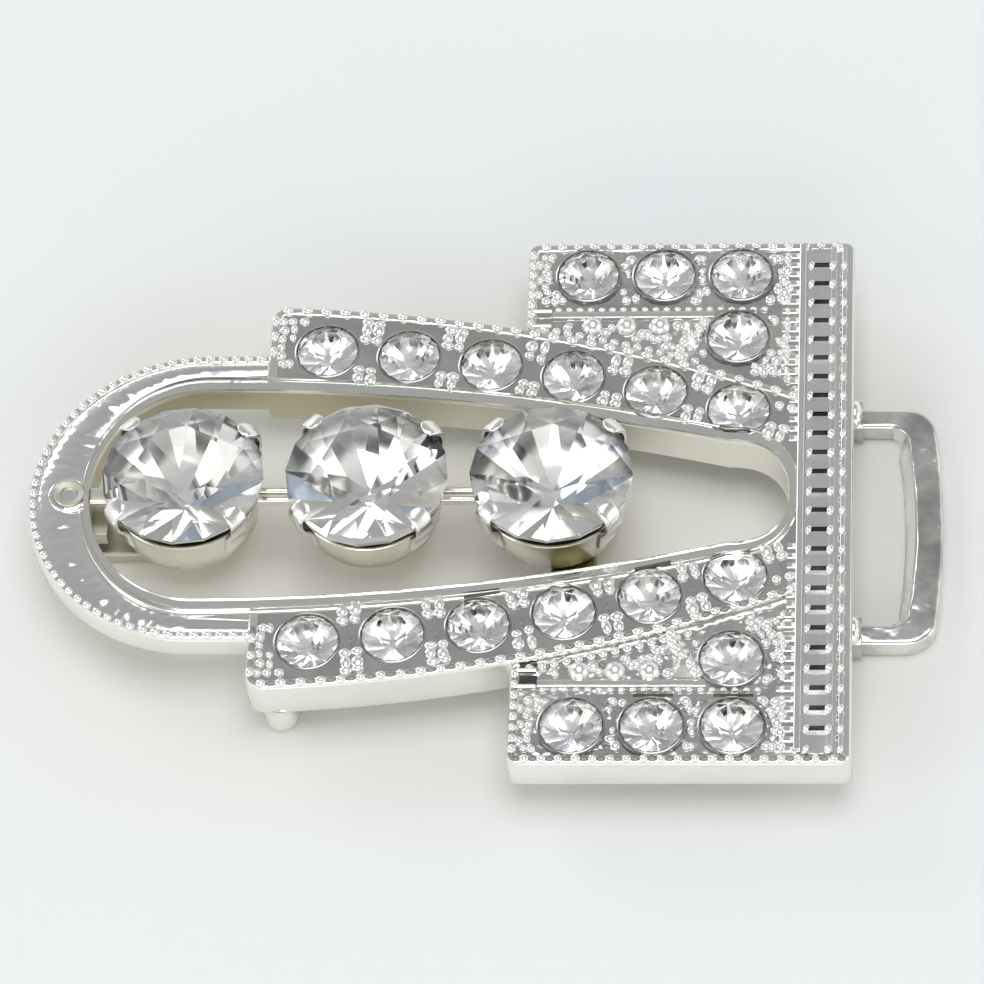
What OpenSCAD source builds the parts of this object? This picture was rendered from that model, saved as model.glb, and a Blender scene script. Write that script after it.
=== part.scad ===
// Rhinestone hook clasp: a cast front plate with a round end, two arms round a long opening and a
// wide block; a strip of three cup settings in the opening; a strap loop; and a plain hook behind.
// The long way runs along X with the strap loop at +X, the stones face +Z, and Z = 0 is the
// surface that the clasp lies on.

/* [Plate outline] */
// Outer radius of the round end
ring_r = 7.7; // [7.2:0.1:8.2]
// From the centre of the round end to the block
ring_to_block = 14.15; // [13.5:0.05:15]
// Length of the block along the clasp
block_l = 14.8; // [14.5:0.1:15.5]
// Half width of the block
block_half_w = 14.0; // [13.8:0.1:14.6]
// Radius of the block's outer corners
block_corner_r = 0.45; // [0.3:0.05:0.6]
// From the centre of the round end to the stepped end of the arms
ring_to_arm = 2.6; // [2.4:0.1:3]
// Radius of the corners at the arms' stepped end
arm_corner_r = 0.8; // [0.5:0.05:1]
// Half width over the arms at their stepped end
arm_half_w = 10.4; // [10.2:0.1:10.6]
// Radius of the long curve of the arms' outer edges
arm_edge_r = 72; // [70:1:76]

/* [Opening] */
// Half width of the opening at its round end
opening_half_w = 5.62; // [5.5:0.02:5.8]
// From the centre of the round end to the opening's round end
opening_end_l = 4.95; // [4.8:0.05:5.1]
// Radius of the long curve of the opening's sides
opening_edge_r = 96; // [92:1:100]
// From the centre of the round end to where the opening's nose starts
nose_start_l = 23.4; // [23:0.1:23.8]
// Length of the nose
nose_l = 2.75; // [2.5:0.05:2.9]
// Width of the smooth rail at the sides of the opening
rail_side_w = 0.85; // [0.7:0.05:0.95]
// Width of the smooth rail at the ends of the opening
rail_end_w = 0.45; // [0.35:0.05:0.5]

/* [Heights] */
// Underside of the arms and the block above the surface
plate_z0 = 1.65; // [1.5:0.05:1.8]
// Underside of the round end
ring_z0 = 2.3; // [2.1:0.05:2.5]
// Floor of the channel round the round end
channel_z = 3.45; // [3.3:0.05:3.5]
// Stone level of the arms
band_z = 3.6; // [3.55:0.05:3.7]
// Surface of the block outside the arms
wing_z = 3.3; // [3.2:0.05:3.4]
// Top of the smooth rail
rail_z = 3.9; // [3.8:0.05:4]
// Top of the beaded rims of the arms and the round end
rim_z = 3.85; // [3.75:0.05:3.9]
// Top of the beaded rims of the block
wing_rim_z = 3.65; // [3.55:0.05:3.7]
// Width of the beaded rims
rim_w = 0.45; // [0.4:0.05:0.5]

/* [Small stones] */
// Diameter of a small stone
small_d = 2.72; // [2.6:0.02:2.8]
// Number of small stones on each arm
arm_stone_count = 6; // [5:1:6]
// Spacing of the stones along an arm
arm_stone_pitch = 3.72; // [3.7:0.02:3.8]
// Spacing of the stones along the block's outer rows
row_stone_pitch = 3.47; // [3.4:0.01:3.5]
// Distance of the block's outer rows from the middle line
row_y = 12.12; // [12:0.02:12.2]
// Distance of the single inner stone of each half block from the middle line
inner_stone_y = 8.66; // [8.6:0.02:8.7]
// Gap round every stone
stone_gap = 0.06; // [0.04:0.01:0.08]

/* [Large stones and cups] */
// Diameter of a large stone
large_d = 7.24; // [7.1:0.02:7.3]
// Spacing of the large stones
cup_pitch = 8.16; // [8.1:0.02:8.3]
// From the centre of the round end to the first large stone, negative towards the round end
first_cup_x = -0.6; // [-0.7:0.05:-0.4]
// Height of the large stones' widest edge
large_girdle_z = 5.05; // [4.95:0.05:5.15]
// Underside of the cups
cup_z0 = 1.95; // [1.85:0.05:2.1]
// Outer radius of a cup at its base
cup_base_r = 3.1; // [3:0.05:3.2]
// Outer radius of a cup at its rim
cup_rim_r = 3.35; // [3.3:0.05:3.4]
// Height of a cup's rim
cup_rim_z = 4.15; // [4.05:0.05:4.25]
// Sheet thickness of the cups
cup_wall = 0.35; // [0.3:0.05:0.4]
// Width of a prong
prong_w = 1.1; // [1:0.05:1.3]
// How far a prong laps over its stone
prong_reach = 0.5; // [0.4:0.05:0.6]

/* [Ladder, loop, feet and hook] */
// Number of rungs in the ladder band
rung_count = 26; // [24:1:28]
// Half width over the strap loop
loop_half_w = 6.35; // [6.2:0.05:6.5]
// How far the strap loop reaches past the block
loop_reach = 3.95; // [3.8:0.05:4.2]
// Width and height of the strap loop's bar
loop_bar = 1.05; // [0.95:0.05:1.15]
// How far the loop's end bar bows out
loop_bow = 0.45; // [0.3:0.05:0.6]
// Diameter of the two feet
foot_d = 1.6; // [1.45:0.05:1.75]
// Width of the hook
hook_w = 2.6; // [2.4:0.1:2.8]
// Length of the hook's tongue
hook_l = 7.9; // [7:0.1:8.2]
// Sheet thickness of the hook
hook_t = 0.7; // [0.6:0.05:0.8]

/* [Hidden] */
$fn = 48;
overlap = 0.1;
clasp_l = ring_r + ring_to_block + block_l + loop_reach;
ring_x = ring_r - clasp_l / 2;
arm_x0 = ring_x + ring_to_arm;
block_x0 = ring_x + ring_to_block;
block_x1 = block_x0 + block_l;
loop_x1 = block_x1 + loop_reach;
nose_x = ring_x + nose_start_l;
nose_power = 2.3;

// The ladder band lies along the block's outer end
ladder_w = 2.45;
ladder_x0 = block_x1 - ladder_w;
ladder_floor_z = 3.4;
ladder_rail_w = 0.25;
rung_x0 = ladder_x0 + 0.6;
rung_l = 0.8;
rung_r = 0.39;
rung_pitch = 2 * block_half_w / (rung_count + 1);
bead_rib_w = 0.36;
bead_rib_z = 3.6;
bead_rib_x = [ladder_x0 + 1.4, ladder_x0 + 1.94];

// Stone places
first_arm_stone_l = 5.25;
first_row_stone_l = 2.75;
inner_stone_shift = 0.1;
arm_stone_x0 = ring_x + first_arm_stone_l;
row_stone_x0 = block_x0 + first_row_stone_l;
inner_stone_x = row_stone_x0 + 2 * row_stone_pitch - inner_stone_shift;
row_stone_count = 3;
wing_girdle_z = wing_z + 0.15;

// Every small stone is set at a turn of its own, in degrees
stone_turn_step = 19;
stone_turn_side = 7;

// Heights of a stone above and below its widest edge, and its parts as shares of its radius
small_crown_h = 0.5;
small_pavilion_h = 1.0;
small_table_part = 0.55;
large_crown_h = 1.2;
large_pavilion_h = 2.6;
large_table_part = 0.52;
side_corner_part = 0.8;
low_corner_part = 0.3;
girdle_part = 0.06;

// A small stone's recess: a straight mouth above a tapered seat
seat_mouth = 0.2;
seat_cone_h = 1.1;
seat_tip_r = 0.25;

cup_x0 = ring_x + first_cup_x;
cup_count = 3;
prong_turn = 49;
cup_chamfer = 0.3;

// The cup's wall thins towards its rim on the inside
cup_lip_w = 0.15;
cup_lip_h = 0.4;

// A prong's outer and inner face: steps in from the stone's edge and heights above its widest edge
prong_foot_h = 0.9;
prong_outer = [[0, -0.35], [0, 0.3], [0.35, 0.75]];
prong_inner = [[0, 0.25], [0, -0.3]];
prong_tip_z = [0.92, 0.62];

// Links between the cups, and the bar that reaches back to the round end
link_z = 3.2;
link_w = 0.9;
link_h = 0.45;
cup_meet_r = cup_base_r - 0.05;

// The cups are bent a little out of line: turn about Z and tilt about X of each
cup_turn = [-4, -4, -1];
cup_tilt = [0, 4, 0];

// The beads that hold the small stones stand in pairs between them
bead_r = 0.28;
bead_pair = 0.26;
bead_side = 0.95;
inner_bead_side = 1.62;

// Small bars between the stones and the ladder band
bar_y0 = 6.9;
bar_y1 = 13.2;
bar_pitch = rung_pitch / 2;
bar_l = 1.1;
bar_h = 0.12;

// Domes in the strip between the arms and the outer rows, and the smooth rail beside them
dome_x = [4.55, 6.1, 7.6];
dome_y = 9.3;
dome_r = 0.5;
wing_rail_y = 9.98;
wing_rail_w = 0.3;
wing_rail_h = 0.2;
wing_rail_end = 1.6;

// The loop's bars run a little way under the block, and a collar stands at its edge; its end bar is
// wider than the two others
loop_under = 1.4;
loop_corner_r = 1.5;
loop_leg_end = 0.2;
loop_end_more = 0.2;
collar_under = 0.3;
collar_l = 0.35;
collar_w = 1.5;
collar_z1 = 1.9;

foot_x = arm_x0 + 1.37;
foot_y = 9.6;
foot_neck_r = 0.68;
foot_ball_z = 0.65;
foot_neck_h = 0.2;

// Bar across the opening that carries the third cup
cross_bar_w = 2;
cross_bar_h = 0.65;
cross_bar_z1 = 1.9;
cross_bar_end = 0.3;
cross_bar_shift = 0.9;

rivet_x = ring_x - 5.85;
rivet_r = 0.92;
rivet_hole_r = 0.5;
rivet_shank_r = 0.7;
rivet_gap = 0.05;
rivet_drop = 0.1;
hook_z0 = 0.1;
hook_pad_l = [1.1, 1.6];

function edge_drop(x, r) = x <= 0 ? 0 : r - sqrt(r * r - x * x);
function arm_half(x) = arm_half_w - edge_drop(x - ring_x, arm_edge_r);
function opening_half(x) = opening_half_w - edge_drop(x - ring_x, opening_edge_r);
function arm_stone_y(x) = (arm_half(x) + opening_half(x)) / 2;
function stone_turn(k, side) = k * stone_turn_step + side * stone_turn_side;
function arm_slope(x) = atan2(arm_stone_y(x + 1) - arm_stone_y(x - 1), 2);
function power(v, p) = sign(v) * pow(abs(v), p);

// Outline of the opening, grown by the rail's width times t
function round_end(t) = [
    for (i = [0:30]) let (a = 90 + 6 * i)
    [ring_x + (opening_end_l + t * rail_end_w) * cos(a), (opening_half_w + t * rail_side_w) * sin(a)]
];
function long_side(t) = [
    for (i = [1:15]) let (x = ring_x + i * nose_start_l / 16) [x, -opening_half(x) - t * rail_side_w]
];
function nose(t) = [
    for (i = [0:20]) let (a = -90 + 9 * i)
    [nose_x + (nose_l + t * rail_end_w) * power(cos(a), 2 / nose_power),
     (opening_half(nose_x) + t * rail_side_w) * power(sin(a), 2 / nose_power)]
];
function other_side(t) = [for (i = [14:-1:0]) [long_side(t)[i][0], -long_side(t)[i][1]]];
function opening_outline(t) = concat(round_end(t), long_side(t), nose(t), other_side(t));

// Outline of the two arms together, drawn in by an inset, with corners of radius r at the stepped end
function arm_side(inset, x0, x1, r) = concat(
    [for (a = [180:-15:105]) [x0 + r + r * cos(a), arm_half(x0 + r) - inset - r + r * sin(a)]],
    [for (i = [0:16]) let (x = x0 + r + i * (x1 - x0 - r) / 16) [x, arm_half(x) - inset]]
);
function arms_outline(inset, x0, x1, r) = concat(
    arm_side(inset, x0, x1, r),
    [for (i = [22:-1:0]) let (p = arm_side(inset, x0, x1, r)[i]) [p[0], -p[1]]]
);

module slab(z0, z1) {
    translate([0, 0, z0]) linear_extrude(z1 - z0) children();
}

module box(x0, x1, y0, y1, z0, z1) {
    translate([x0, y0, z0]) cube([x1 - x0, y1 - y0, z1 - z0]);
}

module both_sides() {
    children();
    mirror([0, 1, 0]) children();
}

module ring_shape(inset) {
    translate([ring_x, 0]) circle(ring_r - inset, $fn = 96);
    translate([ring_x, inset - ring_r]) square([ring_to_arm + overlap, 2 * (ring_r - inset)]);
}

module block_shape() {
    r = block_corner_r;
    translate([block_x0 + r, -block_half_w]) square([block_l - 2 * r, 2 * block_half_w]);
    translate([block_x0, r - block_half_w]) square([block_l, 2 * (block_half_w - r)]);
    for (x = [block_x0 + r, block_x1 - r], y = [r - block_half_w, block_half_w - r])
        translate([x, y]) circle(r);
}

module ring_part() {
    slab(ring_z0, channel_z) ring_shape(0);
    slab(ring_z0, rim_z) difference() {
        ring_shape(0);
        ring_shape(rim_w);
    }
}

module arms_part() {
    inner_r = arm_corner_r - rim_w;
    slab(plate_z0, band_z) polygon(arms_outline(0, arm_x0, ladder_x0, arm_corner_r));
    slab(band_z - overlap, rim_z) difference() {
        polygon(arms_outline(0, arm_x0, ladder_x0, arm_corner_r));
        polygon(arms_outline(rim_w, arm_x0 + rim_w, ladder_x0 + overlap, inner_r));
    }
}

module block_part() {
    slab(plate_z0, wing_z) block_shape();
    slab(wing_z - overlap, wing_rim_z) difference() {
        block_shape();
        translate([block_x0 + rim_w, rim_w - block_half_w])
            square([block_l, 2 * (block_half_w - rim_w)]);
    }
    // Smooth rail between the outer row and the strip of domes
    both_sides() box(block_x0 + rim_w, inner_stone_x - wing_rail_end, wing_rail_y, wing_rail_y + wing_rail_w,
        wing_z - overlap, wing_z + wing_rail_h);
}

module ladder_part() {
    slab(plate_z0, ladder_floor_z) intersection() {
        block_shape();
        translate([ladder_x0, -block_half_w]) square([ladder_w, 2 * block_half_w]);
    }
    end_y = block_half_w - rim_w;
    box(ladder_x0, ladder_x0 + ladder_rail_w, -end_y, end_y, plate_z0, rail_z);
    for (x = bead_rib_x) box(x, x + bead_rib_w, -end_y, end_y, plate_z0, bead_rib_z);
    for (i = [0:rung_count - 1])
        translate([rung_x0, (i - (rung_count - 1) / 2) * rung_pitch, ladder_floor_z])
            rotate([0, 90, 0]) cylinder(r = rung_r, h = rung_l, $fn = 24);
}

// A recess with a tapered seat, open at the top
module seat(x, y, girdle_z) {
    r = small_d / 2 + stone_gap;
    translate([x, y, girdle_z - seat_mouth]) cylinder(r = r, h = seat_mouth + rail_z, $fn = 32);
    translate([x, y, girdle_z - seat_mouth - seat_cone_h])
        cylinder(r1 = seat_tip_r, r2 = r, h = seat_cone_h, $fn = 32);
}

module bead_pairs(x, y, turn, z) {
    translate([x, y, z]) rotate([0, 0, turn])
        for (dx = [-bead_pair, bead_pair], dy = [-bead_side, bead_side])
            translate([dx, dy, 0]) sphere(r = bead_r, $fn = 16);
}

module stone_beads() {
    both_sides() {
        for (i = [0:arm_stone_count]) let (x = arm_stone_x0 + (i - 0.5) * arm_stone_pitch)
            bead_pairs(x, arm_stone_y(x), arm_slope(x), band_z);
        for (i = [0:row_stone_count])
            bead_pairs(row_stone_x0 + (i - 0.5) * row_stone_pitch, row_y, 0, wing_z);
        for (dx = [-inner_bead_side, inner_bead_side])
            bead_pairs(inner_stone_x + dx, inner_stone_y, 0, wing_z);
    }
}

module domes() {
    both_sides() for (x = dome_x) translate([x, dome_y, wing_z]) sphere(r = dome_r, $fn = 24);
}

module small_bars() {
    both_sides() for (y = [bar_y0:bar_pitch:bar_y1])
        box(ladder_x0 - bar_l, ladder_x0 + overlap, y, y + bar_pitch / 2, wing_z - overlap, wing_z + bar_h);
}

module loop_shape(inset) {
    half_w = loop_half_w - inset;
    x0 = block_x1 - loop_under;
    x1 = loop_x1 - inset;
    r = loop_corner_r - inset / 2;
    bow_r = (half_w * half_w + loop_bow * loop_bow) / (2 * loop_bow);
    intersection() {
        translate([x1 - bow_r, 0]) circle(bow_r, $fn = 180);
        union() {
            translate([x0, -half_w]) square([x1 - r - loop_bow / 2 - x0, 2 * half_w]);
            translate([x0, r - half_w]) square([x1 - x0, 2 * (half_w - r)]);
            for (y = [r - half_w, half_w - r]) translate([x1 - r - loop_bow / 2, y]) circle(r);
        }
    }
}

module strap_loop() {
    slab(0, loop_bar) difference() {
        loop_shape(0);
        translate([-loop_end_more, 0]) loop_shape(loop_bar);
    }
    both_sides() {
        box(block_x1 - loop_under, block_x1 - loop_leg_end, loop_half_w - loop_bar, loop_half_w,
            loop_bar - overlap, plate_z0 + overlap);
        box(block_x1 - collar_under, block_x1 + collar_l, loop_half_w - (loop_bar + collar_w) / 2,
            loop_half_w - (loop_bar - collar_w) / 2, overlap, collar_z1);
    }
}

// Two feet, each a short neck with a rounded knob
module feet() {
    r = foot_d / 2;
    both_sides() translate([foot_x, foot_y, 0]) rotate_extrude() polygon(concat(
        [[0, 0]],
        [for (a = [-60:15:30]) [r * cos(a), foot_ball_z * (1 + sin(a) / sin(60))]],
        [[foot_neck_r, plate_z0 - foot_neck_h], [foot_neck_r, plate_z0 + overlap], [0, plate_z0 + overlap]]
    ));
}

module cross_bar() {
    x = cup_x0 + 2 * cup_pitch + cross_bar_shift;
    half = opening_half(x) + cross_bar_end;
    box(x - cross_bar_w / 2, x + cross_bar_w / 2, -half, half, cross_bar_z1 - cross_bar_h, cross_bar_z1);
}

module cast_plate() {
    color([0.86, 0.87, 0.88]) {
        difference() {
            union() {
                ring_part();
                arms_part();
                block_part();
                ladder_part();
                slab(ring_z0 + overlap, rail_z) intersection() {
                    polygon(opening_outline(1));
                    translate([-clasp_l / 2, -ring_r]) square([clasp_l / 2 + ladder_x0, 2 * ring_r]);
                }
                translate([rivet_x, 0, ring_z0]) cylinder(r = rivet_r, h = rail_z - rivet_drop - ring_z0);
                stone_beads();
                domes();
                small_bars();
            }
            slab(0, rail_z + 1) polygon(opening_outline(0));
            both_sides() {
                for (i = [0:arm_stone_count - 1]) let (x = arm_stone_x0 + i * arm_stone_pitch)
                    seat(x, arm_stone_y(x), band_z);
                for (i = [0:row_stone_count - 1])
                    seat(row_stone_x0 + i * row_stone_pitch, row_y, wing_girdle_z);
                seat(inner_stone_x, inner_stone_y, wing_girdle_z);
            }
            translate([rivet_x, 0, 0]) cylinder(r = rivet_shank_r + rivet_gap, h = rail_z + 1);
        }
        strap_loop();
        feet();
        cross_bar();
    }
}

// One cup: a tapered wall with a floor, and four prongs bent over the stone, turned about its axis
module cup(turn) {
    lip_r = large_d / 2 - prong_reach;
    in_r = large_d / 2 + stone_gap;
    out_r = in_r + cup_wall;
    g = large_girdle_z;
    rotate_extrude($fn = 64) polygon([
        [0, cup_z0], [cup_base_r - cup_chamfer, cup_z0], [cup_base_r, cup_z0 + cup_chamfer],
        [cup_rim_r, cup_rim_z], [cup_rim_r - cup_lip_w, cup_rim_z],
        [cup_rim_r - cup_wall, cup_rim_z - cup_lip_h],
        [cup_base_r - cup_wall, cup_z0 + cup_wall], [0, cup_z0 + cup_wall]
    ]);
    intersection() {
        rotate_extrude($fn = 64) polygon(concat(
            [[cup_base_r + cup_wall / 2, cup_rim_z - prong_foot_h]],
            [for (p = prong_outer) [out_r - p[0], g + p[1]]],
            [for (z = prong_tip_z) [lip_r, g + z]],
            [for (p = prong_inner) [in_r - p[0], g + p[1]]],
            [[cup_rim_r - cup_wall, cup_rim_z - cup_lip_h]]
        ));
        rotate([0, 0, turn - 90]) for (a = [prong_turn, -prong_turn, 180 + prong_turn, 180 - prong_turn])
            rotate([0, 0, a])
                box(cup_base_r / 2, large_d, -prong_w / 2, prong_w / 2, cup_z0, g + large_crown_h);
    }
}

module place_cup(i) {
    translate([cup_x0 + i * cup_pitch, 0, large_girdle_z]) rotate([cup_tilt[i], 0, 0]) children();
}

module cup_strip() {
    link_l = cup_pitch - 2 * cup_meet_r;
    color([0.84, 0.83, 0.79]) {
        for (i = [0:cup_count - 1]) place_cup(i) translate([0, 0, -large_girdle_z]) cup(cup_turn[i]);
        for (i = [0:cup_count - 2]) translate([cup_x0 + (i + 0.5) * cup_pitch, 0, 0])
            box(-link_l / 2, link_l / 2, -link_w / 2, link_w / 2, link_z, link_z + link_h);
        box(ring_x - opening_end_l + stone_gap, cup_x0 - cup_meet_r, -link_w / 2, link_w / 2,
            link_z, link_z + link_h);
    }
}

// A cut stone: table, eight star, eight kite and sixteen upper facets, and a faceted cone below
module cut_stone(d, crown_h, pavilion_h, table_part) {
    r = d / 2;
    girdle_h = r * girdle_part;
    table_r = r * table_part;
    crown_t = (crown_h - girdle_h / 2) / (r - table_r);
    side_r = r * side_corner_part;
    side_z = crown_h - (side_r * cos(22.5) - table_r) * crown_t;
    pavilion_t = pavilion_h / r;
    low_r = r * low_corner_part;
    low_z = -girdle_h / 2 - (r - low_r * cos(22.5)) * pavilion_t;
    points = concat(
        [for (k = [0:7]) [table_r * cos(45 * k), table_r * sin(45 * k), crown_h]],
        [for (k = [0:7]) [side_r * cos(45 * k + 22.5), side_r * sin(45 * k + 22.5), side_z]],
        [for (k = [0:15]) [r * cos(22.5 * k), r * sin(22.5 * k), girdle_h / 2]],
        [for (k = [0:15]) [r * cos(22.5 * k), r * sin(22.5 * k), -girdle_h / 2]],
        [for (k = [0:7]) [low_r * cos(45 * k + 22.5), low_r * sin(45 * k + 22.5), low_z]],
        [[0, 0, -girdle_h / 2 - pavilion_h]]
    );
    table = 0;
    side = 8;
    upper = 16;
    lower = 32;
    low = 48;
    tip = 56;
    faces = concat(
        [[for (k = [7:-1:0]) table + k]],
        [for (k = [0:7]) [table + k, table + (k + 1) % 8, side + k]],
        [for (k = [0:7]) [table + k, side + k, upper + 2 * k, side + (k + 7) % 8]],
        [for (k = [0:7]) [side + k, upper + 2 * k + 1, upper + 2 * k]],
        [for (k = [0:7]) [side + k, upper + (2 * k + 2) % 16, upper + 2 * k + 1]],
        [for (k = [0:15]) [upper + k, upper + (k + 1) % 16, lower + (k + 1) % 16, lower + k]],
        [for (k = [0:7]) [lower + 2 * k, lower + 2 * k + 1, low + k]],
        [for (k = [0:7]) [lower + 2 * k + 1, lower + (2 * k + 2) % 16, low + k]],
        [for (k = [0:7]) [lower + 2 * k, low + k, tip, low + (k + 7) % 8]]
    );
    polyhedron(points, faces);
}

module large_stone(i) {
    color([0.9, 0.93, 0.97]) place_cup(i) rotate([0, 0, cup_turn[i]])
        cut_stone(large_d, large_crown_h, large_pavilion_h, large_table_part);
}

module small_stone(turn) {
    color([0.9, 0.93, 0.97]) rotate([0, 0, turn])
        cut_stone(small_d, small_crown_h, small_pavilion_h, small_table_part);
}

module arm_stone(i, side) {
    x = arm_stone_x0 + i * arm_stone_pitch;
    translate([x, side * arm_stone_y(x), band_z]) small_stone(stone_turn(i, side));
}

module row_stone(i, side) {
    translate([row_stone_x0 + i * row_stone_pitch, side * row_y, wing_girdle_z])
        small_stone(stone_turn(arm_stone_count + i, side));
}

module inner_stone(side) {
    translate([inner_stone_x, side * inner_stone_y, wing_girdle_z])
        small_stone(stone_turn(arm_stone_count + row_stone_count, side));
}

// The hook behind the round end: a hollow rivet through the plate, a pad, a bend and a tongue
module back_hook() {
    pad_x0 = rivet_x - hook_pad_l[0];
    pad_x1 = rivet_x + hook_pad_l[1];
    pad_z1 = ring_z0 - rivet_gap;
    pad_z0 = pad_z1 - hook_t;
    tip_x = pad_x0 + hook_l - hook_w / 2;
    color([0.8, 0.81, 0.82]) difference() {
        union() {
            box(pad_x0, pad_x1, -hook_w / 2, hook_w / 2, pad_z0, pad_z1);
            box(pad_x0, pad_x0 + hook_t, -hook_w / 2, hook_w / 2, hook_z0, pad_z1);
            box(pad_x0, tip_x, -hook_w / 2, hook_w / 2, hook_z0, hook_z0 + hook_t);
            translate([tip_x, 0, hook_z0]) cylinder(d = hook_w, h = hook_t);
            translate([rivet_x, 0, pad_z0]) cylinder(r = rivet_shank_r, h = rail_z - rivet_drop / 2 - pad_z0);
        }
        translate([rivet_x, 0, pad_z1]) cylinder(r = rivet_hole_r, h = rail_z);
    }
}

SIDES = ["near", "far"];

cast_plate();
cup_strip();
back_hook();
for (i = [1:cup_count])
    large_stone(i - 1);
for (s = [0:1], i = [1:arm_stone_count])
    arm_stone(i - 1, 2 * s - 1);
for (s = [0:1], i = [1:row_stone_count])
    row_stone(i - 1, 2 * s - 1);
for (s = [0:1])
    inner_stone(2 * s - 1);
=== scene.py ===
"""Rhinestone hook clasp: the finished look of the casting, the cups and the stones.

Lengths are in millimetres, in the part's own frame: x runs from the round end to the strap loop, y across,
z up from the surface that the clasp lies on. Finished meshes are in metres.
"""

import random
from math import atan2, copysign, cos, dist, hypot, pi, radians, sin, sqrt

import bmesh
import bpy
from mathutils import Matrix, Vector, noise


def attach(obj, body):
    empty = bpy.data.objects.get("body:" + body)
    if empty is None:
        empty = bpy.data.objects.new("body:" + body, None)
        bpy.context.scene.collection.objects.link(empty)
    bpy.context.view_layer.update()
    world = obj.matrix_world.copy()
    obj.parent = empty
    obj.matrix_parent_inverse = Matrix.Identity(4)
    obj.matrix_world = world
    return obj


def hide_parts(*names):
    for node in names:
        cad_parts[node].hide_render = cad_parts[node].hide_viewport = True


MM = 0.001
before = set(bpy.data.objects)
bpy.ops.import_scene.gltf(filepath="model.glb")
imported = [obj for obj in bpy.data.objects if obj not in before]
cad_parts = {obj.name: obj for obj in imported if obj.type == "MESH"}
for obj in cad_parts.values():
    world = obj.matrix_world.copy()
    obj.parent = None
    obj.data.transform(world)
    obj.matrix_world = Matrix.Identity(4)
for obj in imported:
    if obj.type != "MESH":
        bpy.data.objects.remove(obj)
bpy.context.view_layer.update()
scene = bpy.context.scene

# Plate outline
RING_R = 7.7
RING_X = -12.6
ARM_X0 = RING_X + 2.6
BLOCK_X0 = 1.55
BLOCK_X1 = 16.35
BLOCK_HALF_W = 14.0
BLOCK_CORNER_R = 0.45
LADDER_X0 = BLOCK_X1 - 2.45
ARM_HALF_W = 10.4
ARM_EDGE_R = 72.0
ARM_CORNER_R = 0.8

# Opening
OPENING_HALF_W = 5.62
OPENING_END_L = 4.95
OPENING_EDGE_R = 96.0
NOSE_X = RING_X + 23.4
NOSE_L = 2.75
NOSE_POWER = 2.3
RAIL_SIDE_W = 0.85
RAIL_END_W = 0.45

# Heights
PLATE_Z0 = 1.65
RING_Z0 = 2.3
CHANNEL_Z = 3.45
BAND_Z = 3.6
WING_Z = 3.3
ARM_RIM_Z = 3.7
BLOCK_RIM_Z = 3.42
RIM_W = 0.45
EDGE_R = 0.09

# Stones
SMALL_R = 1.36
HOLE_R = SMALL_R + 0.07
ARM_STONE_X0 = RING_X + 5.25
ARM_STONE_PITCH = 3.72
ROW_STONE_X0 = BLOCK_X0 + 2.75
ROW_STONE_PITCH = 3.47
ROW_Y = 12.12
INNER_X = ROW_STONE_X0 + 2 * ROW_STONE_PITCH - 0.1
INNER_Y = 8.66
LARGE_R = 3.62
CUP_X0 = RING_X - 0.6
CUP_PITCH = 8.16
GIRDLE_Z = 5.05
CUP_TURN = [-4, -4, -1]
CUP_TILT = [0, 4, 0]
PRONG_TURN = 49
PRONG_W = 1.1
CROSS_BAR_SHIFT = 0.9

# Relief of the block
DOME_X = [4.55, 6.1, 7.6]
DOME_Y = 9.3
DOME_R = 0.5
LEDGE_Y = 9.93
BEAD_ROW_Y = 10.24
EDGE_ROW_SHIFT = 0.31

# Ladder
SLOT_COUNT = 27
RUNG_X0 = LADDER_X0 + 0.6
RUNG_L = 0.8
RUNG_PITCH = 2 * BLOCK_HALF_W / SLOT_COUNT
CELL_Z = 3.615
RIB_Z = 3.36
BAND_END_Y = 7.2

# Strap loop and feet
LOOP_HALF_W = 6.35
LOOP_X1 = 20.3
LOOP_BAR = 1.05
LOOP_END_MORE = 0.2
LOOP_BOW = 0.45
LOOP_CORNER_R = 1.5
LOOP_UNDER = 1.4
LOOP_SLOPE = 0.42
FOOT_X = ARM_X0 + 1.37
FOOT_Y = 9.6

# Eyelet and hook
EYELET_X = RING_X - 5.85
EYELET_R = 0.92
HOOK_W = 2.6
HOOK_T = 0.7
HOOK_L = 7.9

# Making
SEED = 11
MERGE_GAP = 0.0004
SMOOTH_ANGLE = radians(40)

# View: degrees round, up and rolled, then the point aimed at, the distance from it, the lens and the film's width
VIEW_TURN, VIEW_HEIGHT, VIEW_ROLL = 7.741, 54.77, -6.581
VIEW_TARGET = (0.405, 0.068, 3.6)
VIEW_DISTANCE = 261.9
LENS, FILM = 216.55, 36


def edge_drop(x, r):
    """How far an edge bent to radius r has come in at x past the start of its bend."""
    return 0.0 if x <= 0 else r - sqrt(r * r - x * x)


def arm_half(x):
    return ARM_HALF_W - edge_drop(x - RING_X, ARM_EDGE_R)


def opening_half(x):
    return OPENING_HALF_W - edge_drop(x - RING_X, OPENING_EDGE_R)


def arm_stone_y(x):
    return (arm_half(x) + opening_half(x)) / 2


def arm_slope(x):
    """The direction of the line of arm stones at x, on the +Y side."""
    return atan2(arm_stone_y(x + 1) - arm_stone_y(x - 1), 2)


def between(a, b, f):
    """The point that is the fraction f of the way from a to b."""
    return a[0] + (b[0] - a[0]) * f, a[1] + (b[1] - a[1]) * f


def signed_power(v, p):
    return copysign(abs(v) ** p, v)


def spread(a, b, count):
    """count values from a to b, both included."""
    return [a + (b - a) * i / (count - 1) for i in range(count)]


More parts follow.
